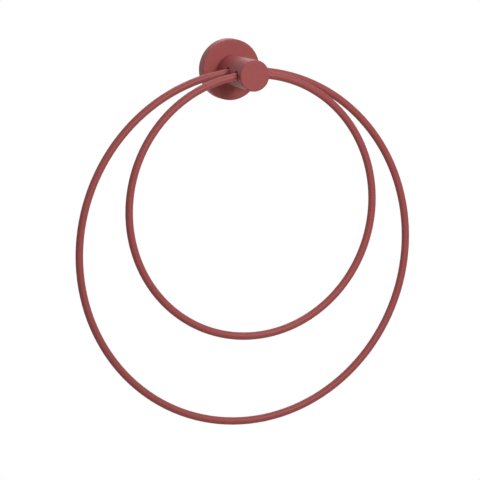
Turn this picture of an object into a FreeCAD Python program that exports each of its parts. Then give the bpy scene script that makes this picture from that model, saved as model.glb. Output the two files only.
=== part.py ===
# Double towel ring: a round post on a wall rosette carries two round-bar rings, one inside the other.
# Millimetres. The origin is the centre of the rosette's back, on the wall. +Z is up, +X is to the
# right for someone facing the wall, and the post points away from the wall along -Y.
import FreeCAD, Part
import math
import os

V = FreeCAD.Vector

# Rosette: the turned cup against the wall
rosette_diameter = 50.0
rosette_depth = 9.6
rosette_front_wall = 3.0
rosette_side_wall = 3.0
rosette_edge_radius = 1.0
rosette_back_chamfer = 0.4

# Post: a turned bar, a little slimmer at the rosette than at its end
post_root_diameter = 24.4
post_end_diameter = 25.6
post_reach = 58.6
post_edge_radius = 1.2
spigot_diameter = 12.0
spigot_shoulder = 0.3
spigot_clearance = 0.1

# Cross holes: one for each ring, a little above and a little below the post's axis
ring_hole_diameter = 7.4
ring_hole_edge_radius = 0.35
inner_hole_from_end = 9.6
ring_hole_spacing = 18.6
outer_hole_height = 0.8
inner_hole_height = -0.4

# Rings: closed hoops of 6 mm round bar and its coat. Each hangs a little off the post's middle.
wire_diameter = 6.2
outer_ring_diameter = 294.5
inner_ring_diameter = 219.6
outer_ring_slide = 3.2
inner_ring_slide = 1.5
ring_seat_gap = 0.06

# Screw and washer that hold the post to the rosette from behind
post_screw_diameter = 6.0
post_screw_head_diameter = 10.0
post_screw_head_height = 3.6
post_screw_socket = 4.0
post_screw_socket_depth = 2.2
washer_diameter = 17.0
washer_thickness = 1.2
washer_clearance = 0.2
thread_clearance = 0.05
tapped_depth_spare = 2.0
tapped_end_wall = 3.3

# Wall bracket: the disc that is screwed to the wall inside the rosette
bracket_thickness = 4.6
bracket_clearance = 0.25
bracket_band_width = 11.75
bracket_groove_depth = 1.0
bracket_screw_edge_distance = 6.25
bracket_screw_hole_diameter = 4.5
bracket_screw_head_diameter = 8.4

# Grub screw in the underside of the rosette, which bites in the bracket's groove
grub_screw_diameter = 4.0
grub_screw_socket = 2.0
grub_screw_socket_depth = 1.6
grub_screw_sunk = 0.3
grub_screw_tip_diameter = 1.2
grub_screw_seat_gap = 0.02

# Derived sizes
rosette_radius = rosette_diameter / 2
cavity_radius = rosette_radius - rosette_side_wall
cavity_depth = rosette_depth - rosette_front_wall
post_length = post_reach - rosette_depth
wire_radius = wire_diameter / 2
hole_radius = ring_hole_diameter / 2
inner_hole_depth = post_reach - inner_hole_from_end
outer_hole_depth = inner_hole_depth - ring_hole_spacing
ring_holes = ((outer_hole_depth, outer_hole_height), (inner_hole_depth, inner_hole_height))
bracket_radius = cavity_radius - bracket_clearance
bracket_middle = bracket_thickness / 2
spigot_length = rosette_front_wall - spigot_shoulder
screw_start = cavity_depth - washer_thickness
tapped_end = outer_hole_depth - hole_radius - tapped_end_wall
post_screw_length = tapped_end - tapped_depth_spare - screw_start


def solid_of_revolution(points):
    """Turn a closed profile of (radius, distance from the wall) pairs about the post's axis."""
    corners = [V(radius, -depth, 0) for radius, depth in points]
    face = Part.Face(Part.makePolygon(corners + corners[:1]))
    return face.revolve(V(0, 0, 0), V(0, 1, 0), 360)


def rod_along_y(radius, near, far, x=0.0, z=0.0):
    """A cylinder between two distances from the wall."""
    return Part.makeCylinder(radius, far - near, V(x, -near, z), V(0, -1, 0))


def hexagon_along(across_flats, base, direction, depth):
    """A hexagonal prism for a socket, from a base point along a direction."""
    normal = V(direction)
    side = normal.cross(V(1, 0, 0))
    if side.Length < 0.5:
        side = normal.cross(V(0, 1, 0))
    side.normalize()
    other = normal.cross(side)
    reach = across_flats / 2 / math.cos(math.pi / 6)
    corners = []
    for step in range(6):
        angle = math.pi / 3 * step
        corners.append(base + side * (reach * math.cos(angle)) + other * (reach * math.sin(angle)))
    return Part.Face(Part.makePolygon(corners + corners[:1])).extrude(normal * depth)


def round_edges(shape, radius, wanted):
    """Fillet the edges that the test picks out."""
    edges = [edge for edge in shape.Edges if wanted(edge)]
    return shape.makeFillet(radius, edges) if edges else shape


def is_circle_at(edge, radius, depth):
    """Whether an edge is the circle of this radius at this distance from the wall."""
    if not isinstance(edge.Curve, Part.Circle):
        return False
    return abs(edge.Curve.Radius - radius) < 1e-3 and abs(edge.Curve.Center.y + depth) < 1e-3


def post_radius_at(depth):
    """Radius of the tapered post at a distance from the wall."""
    share = (depth - rosette_depth) / post_length
    return (post_root_diameter + (post_end_diameter - post_root_diameter) * share) / 2


def make_rosette():
    """Cup with a flat front, a rounded front edge, a centre hole and a tapped hole underneath."""
    cup = solid_of_revolution([
        (0, rosette_depth),
        (rosette_radius, rosette_depth),
        (rosette_radius, rosette_back_chamfer),
        (rosette_radius - rosette_back_chamfer, 0),
        (cavity_radius, 0),
        (cavity_radius, cavity_depth),
        (0, cavity_depth),
    ])
    cup = round_edges(cup, rosette_edge_radius, lambda e: is_circle_at(e, rosette_radius, rosette_depth))
    spigot_hole = rod_along_y(spigot_diameter / 2 + spigot_clearance, cavity_depth - 1, rosette_depth + 1)
    grub_hole = Part.makeCylinder(grub_screw_diameter / 2 + thread_clearance, rosette_side_wall + 2,
                                  V(0, -bracket_middle, -rosette_radius - 1), V(0, 0, 1))
    return cup.cut(spigot_hole).cut(grub_hole)


def make_post():
    """Tapered bar with a rounded end, a spigot, a tapped hole behind and two cross holes."""
    root = post_root_diameter / 2
    end = post_end_diameter / 2
    spigot = spigot_diameter / 2
    spigot_end = rosette_depth - spigot_length
    bar = solid_of_revolution([
        (0, spigot_end),
        (spigot, spigot_end),
        (spigot, rosette_depth),
        (root, rosette_depth),
        (end, post_reach),
        (0, post_reach),
    ])
    bar = round_edges(bar, post_edge_radius, lambda e: is_circle_at(e, end, post_reach))
    bar = bar.cut(rod_along_y(post_screw_diameter / 2 + thread_clearance, spigot_end - 1, tapped_end))
    for depth, height in ring_holes:
        bar = bar.cut(Part.makeCylinder(hole_radius, post_end_diameter + 2,
                                        V(-post_end_diameter / 2 - 1, -depth, height), V(1, 0, 0)))

    def is_hole_mouth(edge):
        points = edge.discretize(7)
        for depth, height in ring_holes:
            on_hole = all(abs(math.hypot(p.y + depth, p.z - height) - hole_radius) < 1e-3 for p in points)
            if on_hole and all(abs(p.x) > hole_radius for p in points):
                return True
        return False

    return round_edges(bar, ring_hole_edge_radius, is_hole_mouth)


def make_ring(outside_diameter, depth, height, slide):
    """A closed hoop of round bar that rests on the lower edge of its hole's mouth."""
    ring_radius = outside_diameter / 2 - wire_radius
    mouth = math.sqrt(post_radius_at(depth) ** 2 - (height - hole_radius) ** 2)
    # From its highest point, the curved wire drops this much on its way to the mouth.
    drop = ring_radius - math.sqrt(ring_radius ** 2 - (mouth + slide) ** 2)
    seated = height - hole_radius + ring_seat_gap + wire_radius
    return Part.makeTorus(ring_radius, wire_radius, V(slide, -depth, seated + drop - ring_radius), V(0, 1, 0))


def make_post_screw():
    """Cap screw through the washer into the post."""
    head_start = screw_start - post_screw_head_height
    head = rod_along_y(post_screw_head_diameter / 2, head_start, screw_start)
    shank = rod_along_y(post_screw_diameter / 2, screw_start, screw_start + post_screw_length)
    socket = hexagon_along(post_screw_socket, V(0, -head_start, 0), V(0, -1, 0), post_screw_socket_depth)
    return head.fuse(shank).removeSplitter().cut(socket)


def make_washer():
    """Flat washer between the screw's head and the rosette."""
    ring = rod_along_y(washer_diameter / 2, screw_start, cavity_depth)
    return ring.cut(rod_along_y(post_screw_diameter / 2 + washer_clearance, screw_start, cavity_depth))


def make_wall_bracket():
    """Disc with a V-groove round its edge, a centre opening and two countersunk screw holes."""
    inner = bracket_radius - bracket_band_width
    disc = solid_of_revolution([
        (inner, 0),
        (bracket_radius, 0),
        (bracket_radius, bracket_middle - bracket_groove_depth),
        (bracket_radius - bracket_groove_depth, bracket_middle),
        (bracket_radius, bracket_middle + bracket_groove_depth),
        (bracket_radius, bracket_thickness),
        (inner, bracket_thickness),
    ])
    sink_depth = (bracket_screw_head_diameter - bracket_screw_hole_diameter) / 2
    for side in (-1, 1):
        x = side * (bracket_radius - bracket_screw_edge_distance)
        disc = disc.cut(rod_along_y(bracket_screw_hole_diameter / 2, -1, bracket_thickness + 1, x))
        sink = Part.makeCone(bracket_screw_hole_diameter / 2, bracket_screw_head_diameter / 2, sink_depth,
                             V(x, -(bracket_thickness - sink_depth), 0), V(0, -1, 0))
        disc = disc.cut(sink)
    return disc


def make_grub_screw():
    """Cone-point set screw, sunk a little under the rosette's rim."""
    radius = grub_screw_diameter / 2
    tip = grub_screw_tip_diameter / 2
    low = -rosette_radius + grub_screw_sunk
    # The 90 degree cone meets the 90 degree groove, and its flat tip stays short of the bottom.
    high = -(bracket_radius - bracket_groove_depth) - tip - grub_screw_seat_gap * math.sqrt(2)
    shoulder = high - (radius - tip)
    at = V(0, -bracket_middle, low)
    body = Part.makeCylinder(radius, shoulder - low, at, V(0, 0, 1))
    cone = Part.makeCone(radius, tip, high - shoulder, V(0, -bracket_middle, shoulder), V(0, 0, 1))
    socket = hexagon_along(grub_screw_socket, at, V(0, 0, 1), grub_screw_socket_depth)
    return body.fuse(cone).cut(socket)


os.makedirs("parts", exist_ok=True)
parts = {
    "rosette": make_rosette(),
    "post": make_post(),
    "outer_ring": make_ring(outer_ring_diameter, outer_hole_depth, outer_hole_height, outer_ring_slide),
    "inner_ring": make_ring(inner_ring_diameter, inner_hole_depth, inner_hole_height, inner_ring_slide),
    "post_screw": make_post_screw(),
    "post_washer": make_washer(),
    "wall_bracket": make_wall_bracket(),
    "grub_screw": make_grub_screw(),
}
for name, shape in parts.items():
    solid = shape.Solids[0]
    solid.exportStep("parts/" + name + ".step")
    print(name, len(shape.Solids), round(solid.Volume, 2), solid.isValid())
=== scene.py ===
import bpy
import math
from mathutils import Matrix, Vector


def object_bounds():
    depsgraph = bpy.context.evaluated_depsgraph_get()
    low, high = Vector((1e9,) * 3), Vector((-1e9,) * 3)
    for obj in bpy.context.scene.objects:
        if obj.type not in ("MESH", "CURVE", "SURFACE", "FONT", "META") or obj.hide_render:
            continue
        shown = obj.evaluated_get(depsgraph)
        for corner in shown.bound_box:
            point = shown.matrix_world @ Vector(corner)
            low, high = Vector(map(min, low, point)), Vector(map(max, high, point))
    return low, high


# Camera, at the photograph's viewing angle. Values named PX are in pixels of the picture.
IMAGE_SIZE_PX = 480
FOCAL_PX = 4010.0
ORIGIN_PX = (227.035, 68.546)
SENSOR_WIDTH_MM = 36.0
CAMERA_LEFT = math.radians(22.8)
CAMERA_UP = math.radians(8.83)
CAMERA_DISTANCE = 3.272
CLIP_START = 0.1
CLIP_END = 100.0

# Finishes. The colour is multiplied by something between the two tints, and the roughness strays
# from its mean by the spread. A noise is its cells per metre, its detail and its own roughness.
METAL_SURFACE = {
    "specular": 0.5,
    "roughness_spread": 0.07,
    "tints": (0.9, 1.04),
    "tint_noise": (420.0, 4.0, 0.6),
    "roughness_noise": (1500.0, 2.0, 0.5),
    "bump_noise": (3000.0, 2.0, 0.5),
    "bump_strength": 0.25,
}
FINISHES = {
    "powder_coat": {
        "nodes": ("rosette", "post", "outer_ring", "inner_ring"),
        "colour": (0.35, 0.0705, 0.0665),
        "metallic": 0.0,
        "specular": 0.32,
        "roughness": 0.48,
        "roughness_spread": 0.04,
        "tints": (0.975, 1.025),
        "tint_noise": (260.0, 3.0, 0.5),
        "roughness_noise": (700.0, 2.0, 0.5),
        "bump_noise": (1100.0, 2.0, 0.5),
        "bump_strength": 0.3,
    },
    "zinc_steel": {
        **METAL_SURFACE,
        "nodes": ("post_screw", "post_washer", "wall_bracket"),
        "colour": (0.62, 0.63, 0.64),
        "metallic": 1.0,
        "roughness": 0.36,
    },
    "black_steel": {
        **METAL_SURFACE,
        "nodes": ("grub_screw",),
        "colour": (0.03, 0.03, 0.032),
        "metallic": 0.3,
        "roughness": 0.42,
    },
}
BUMP_HEIGHT = 0.00003
# Most of a noise's values lie between these
NOISE_LOW = 0.3
NOISE_HIGH = 0.7

# Light: the world's strength on the object, and eight lamps aimed at one point below the post
WHITE = (1.0, 1.0, 1.0, 1.0)
AMBIENT = 0.04
LAMPS_AIM_HEIGHT = -0.1
# Each lamp's azimuth and elevation in degrees, distance and size in metres, and power in watts
LAMPS = {
    "key": (26.0, 34.0, 1.2, 0.2, 4.2),
    "front": (5.0, 16.0, 1.2, 0.3, 4.8),
    "low": (-5.0, -10.0, 1.2, 0.3, 0.7),
    "overhead": (0.0, 80.0, 0.7, 0.3, 0.4),
    "top": (180.0, 70.0, 1.2, 0.3, 2.8),
    "back": (160.0, 30.0, 1.2, 0.3, 0.7),
    "rear": (180.0, 0.0, 1.2, 0.3, 2.0),
    "left": (-80.0, 30.0, 1.2, 0.3, 1.7),
}

# Floor
FLOOR_DROP = 0.13
FLOOR_RADIUS = 0.8
FLOOR_SIDES = 96
FLOOR_COLOUR = (0.6, 0.6, 0.6)
FLOOR_GLOW = 0.52
FLOOR_FADE_START = 0.15
FLOOR_FADE_END = 0.35


class Nodes:
    """A material's node tree, with a short way to add nodes and link them."""

    def __init__(self, name):
        self.material = bpy.data.materials.new(name)
        self.material.use_nodes = True
        self.tree = self.material.node_tree
        self.tree.nodes.clear()
        self.output = self.add("ShaderNodeOutputMaterial")

    def add(self, kind, **values):
        node = self.tree.nodes.new(kind)
        for name, value in values.items():
            setattr(node, name, value)
        return node

    def link(self, source, target):
        self.tree.links.new(source, target)

    def noise(self, scale, detail, roughness):
        """Noise in the object's own space, with cells of 1 / scale metres."""
        place = self.add("ShaderNodeTexCoord")
        texture = self.add("ShaderNodeTexNoise")
        texture.inputs["Scale"].default_value = scale
        texture.inputs["Detail"].default_value = detail
        texture.inputs["Roughness"].default_value = roughness
        self.link(place.outputs["Object"], texture.inputs["Vector"])
        return texture.outputs["Fac"]

    def spread(self, source, low, high):
        """Maps the middle of a noise onto the range from low to high."""
        node = self.add("ShaderNodeMapRange")
        node.inputs["From Min"].default_value = NOISE_LOW
        node.inputs["From Max"].default_value = NOISE_HIGH
        node.inputs["To Min"].default_value = low
        node.inputs["To Max"].default_value = high
        self.link(source, node.inputs["Value"])
        return node.outputs["Result"]

    def tint(self, factor, colour, tints):
        """A colour multiplied by the first tint where the factor is 0, and by the second where it is 1."""
        ramp = self.add("ShaderNodeValToRGB")
        for element, tint in zip(ramp.color_ramp.elements, tints):
            element.color = (*(channel * tint for channel in colour), 1.0)
        self.link(factor, ramp.inputs["Fac"])
        return ramp.outputs["Color"]

    def glow(self, strength):
        """A white glow."""
        node = self.add("ShaderNodeEmission")
        node.inputs["Strength"].default_value = strength
        return node.outputs["Emission"]


def make_finish(name, look):
    """A finish with a fine bump, and slightly uneven in its colour and gloss."""
    m = Nodes(name)
    shader = m.add("ShaderNodeBsdfPrincipled")
    shader.inputs["Metallic"].default_value = look["metallic"]
    shader.inputs["Specular IOR Level"].default_value = look["specular"]
    mottle = m.spread(m.noise(*look["tint_noise"]), 0.0, 1.0)
    m.link(m.tint(mottle, look["colour"], look["tints"]), shader.inputs["Base Color"])
    smoothest = look["roughness"] - look["roughness_spread"]
    roughest = look["roughness"] + look["roughness_spread"]
    m.link(m.spread(m.noise(*look["roughness_noise"]), smoothest, roughest), shader.inputs["Roughness"])
    bump = m.add("ShaderNodeBump")
    bump.inputs["Strength"].default_value = look["bump_strength"]
    bump.inputs["Distance"].default_value = BUMP_HEIGHT
    m.link(m.noise(*look["bump_noise"]), bump.inputs["Height"])
    m.link(bump.outputs["Normal"], shader.inputs["Normal"])
    m.link(shader.outputs["BSDF"], m.output.inputs["Surface"])
    return m.material


def dress(node, material):
    """Give a CAD node its finish, in its object's own material slots."""
    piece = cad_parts[node]
    if not piece.material_slots:
        piece.data.materials.append(None)
    for place in piece.material_slots:
        place.link = "OBJECT"
        place.material = material


def mixed(tree, factor, first, second):
    """The first shader where the factor is 0, and the second where it is 1."""
    mix = tree.nodes.new("ShaderNodeMixShader")
    tree.links.new(factor, mix.inputs["Fac"])
    tree.links.new(first, mix.inputs[1])
    tree.links.new(second, mix.inputs[2])
    return mix.outputs["Shader"]


def seen_or_reflected(tree):
    """1 for what the camera sees directly, in a reflection or through glass, and 0 for other light."""
    light_path = tree.nodes.new("ShaderNodeLightPath")
    total = light_path.outputs["Is Camera Ray"]
    for ray in ("Is Glossy Ray", "Is Transmission Ray"):
        most = tree.nodes.new("ShaderNodeMath")
        most.operation = "MAXIMUM"
        tree.links.new(total, most.inputs[0])
        tree.links.new(light_path.outputs[ray], most.inputs[1])
        total = most.outputs[0]
    return total


def background(tree, strength):
    """A white background of some strength."""
    node = tree.nodes.new("ShaderNodeBackground")
    node.inputs["Color"].default_value = WHITE
    node.inputs["Strength"].default_value = strength
    return node.outputs["Background"]


def make_world():
    """White to look at and in reflections, and otherwise a faint, even light from all round."""
    world = bpy.data.worlds.new("studio")
    bpy.context.scene.world = world
    world.use_nodes = True
    tree = world.node_tree
    tree.nodes.clear()
    output = tree.nodes.new("ShaderNodeOutputWorld")
    shown = mixed(tree, seen_or_reflected(tree), background(tree, AMBIENT), background(tree, 1.0))
    tree.links.new(shown, output.inputs["Surface"])


def direction(azimuth, elevation):
    """Unit vector at two angles in radians. Azimuth 0 points away from the wall, and pi / 2 to the right."""
    return Vector((math.sin(azimuth) * math.cos(elevation),
                   -math.cos(azimuth) * math.cos(elevation),
                   math.sin(elevation)))


def make_camera():
    """The camera stands in front of the wall, to the left of the post and a little above it."""
    back = direction(-CAMERA_LEFT, CAMERA_UP)
    right = (-back).cross(Vector((0, 0, 1))).normalized()
    up = back.cross(right)
    # How far the origin lies from the picture's middle, as a share of the distance
    across = (ORIGIN_PX[0] - IMAGE_SIZE_PX / 2) / FOCAL_PX
    down = (ORIGIN_PX[1] - IMAGE_SIZE_PX / 2) / FOCAL_PX
    data = bpy.data.cameras.new("camera")
    data.sensor_width = SENSOR_WIDTH_MM
    data.lens = FOCAL_PX * SENSOR_WIDTH_MM / IMAGE_SIZE_PX
    data.clip_start = CLIP_START
    data.clip_end = CLIP_END
    camera = bpy.data.objects.new("camera", data)
    bpy.context.scene.collection.objects.link(camera)
    turn = Matrix((right, up, back)).transposed().to_4x4()
    place = (back - right * across + up * down) * CAMERA_DISTANCE
    camera.matrix_world = Matrix.Translation(place) @ turn
    bpy.context.scene.camera = camera


def make_lamp(name, azimuth, elevation, distance, size, power):
    """A square soft lamp that the camera doesn't see. Its angles are in degrees."""
    data = bpy.data.lights.new(name, "AREA")
    data.size = size
    data.energy = power
    lamp = bpy.data.objects.new(name, data)
    lamp.visible_camera = False
    bpy.context.scene.collection.objects.link(lamp)
    toward = direction(math.radians(azimuth), math.radians(elevation))
    lamp.location = Vector((0, 0, LAMPS_AIM_HEIGHT)) + toward * distance
    lamp.rotation_mode = "QUATERNION"
    lamp.rotation_quaternion = toward.to_track_quat("Z", "Y")


def make_floor(lowest):
    """A pale disc under the object."""
    height = lowest - FLOOR_DROP
    corners = []
    for step in range(FLOOR_SIDES):
        angle = 2 * math.pi * step / FLOOR_SIDES
        corners.append((FLOOR_RADIUS * math.cos(angle), FLOOR_RADIUS * math.sin(angle), height))
    mesh = bpy.data.meshes.new("floor")
    mesh.from_pydata(corners, [], [list(range(FLOOR_SIDES))])
    floor = bpy.data.objects.new("floor", mesh)
    bpy.context.scene.collection.objects.link(floor)
    floor.data.materials.append(floor_finish())


def floor_finish():
    """Pale and matt under the object, plain white further out, and clear from below. It glows only
    where it is seen or reflected, so the glow lights nothing else."""
    m = Nodes("floor")
    matt = m.add("ShaderNodeBsdfDiffuse")
    matt.inputs["Color"].default_value = (*FLOOR_COLOUR, 1.0)
    near = m.add("ShaderNodeAddShader")
    m.link(matt.outputs["BSDF"], near.inputs[0])
    m.link(m.glow(FLOOR_GLOW), near.inputs[1])
    # The fade follows the distance from the origin, without the height
    place = m.add("ShaderNodeTexCoord")
    level = m.add("ShaderNodeVectorMath", operation="MULTIPLY")
    level.inputs[1].default_value = (1.0, 1.0, 0.0)
    m.link(place.outputs["Object"], level.inputs[0])
    distance = m.add("ShaderNodeVectorMath", operation="LENGTH")
    m.link(level.outputs["Vector"], distance.inputs[0])
    fade = m.add("ShaderNodeMapRange", interpolation_type="SMOOTHSTEP")
    fade.inputs["From Min"].default_value = FLOOR_FADE_START
    fade.inputs["From Max"].default_value = FLOOR_FADE_END
    m.link(distance.outputs["Value"], fade.inputs["Value"])
    seen = mixed(m.tree, fade.outputs["Result"], near.outputs["Shader"], m.glow(1.0))
    from_above = mixed(m.tree, seen_or_reflected(m.tree), matt.outputs["BSDF"], seen)
    clear = m.add("ShaderNodeBsdfTransparent")
    side = m.add("ShaderNodeNewGeometry")
    either_side = mixed(m.tree, side.outputs["Backfacing"], from_above, clear.outputs["BSDF"])
    m.link(either_side, m.output.inputs["Surface"])
    return m.material


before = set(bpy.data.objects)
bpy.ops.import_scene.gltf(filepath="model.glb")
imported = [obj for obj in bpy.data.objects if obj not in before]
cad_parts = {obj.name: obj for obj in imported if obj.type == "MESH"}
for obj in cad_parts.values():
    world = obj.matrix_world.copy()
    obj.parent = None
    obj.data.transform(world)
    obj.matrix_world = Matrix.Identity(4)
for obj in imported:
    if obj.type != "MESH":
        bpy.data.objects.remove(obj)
cad_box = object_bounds()

make_camera()
make_world()
for name, settings in LAMPS.items():
    make_lamp(name, *settings)
# The flat bracket would mirror the rear lamp and look plain white from straight behind
bpy.data.objects["rear"].visible_glossy = False
make_floor(cad_box[0].z)

for name, look in FINISHES.items():
    material = make_finish(name, look)
    for node in look["nodes"]:
        dress(node, material)

bpy.context.scene.view_settings.view_transform = "Standard"
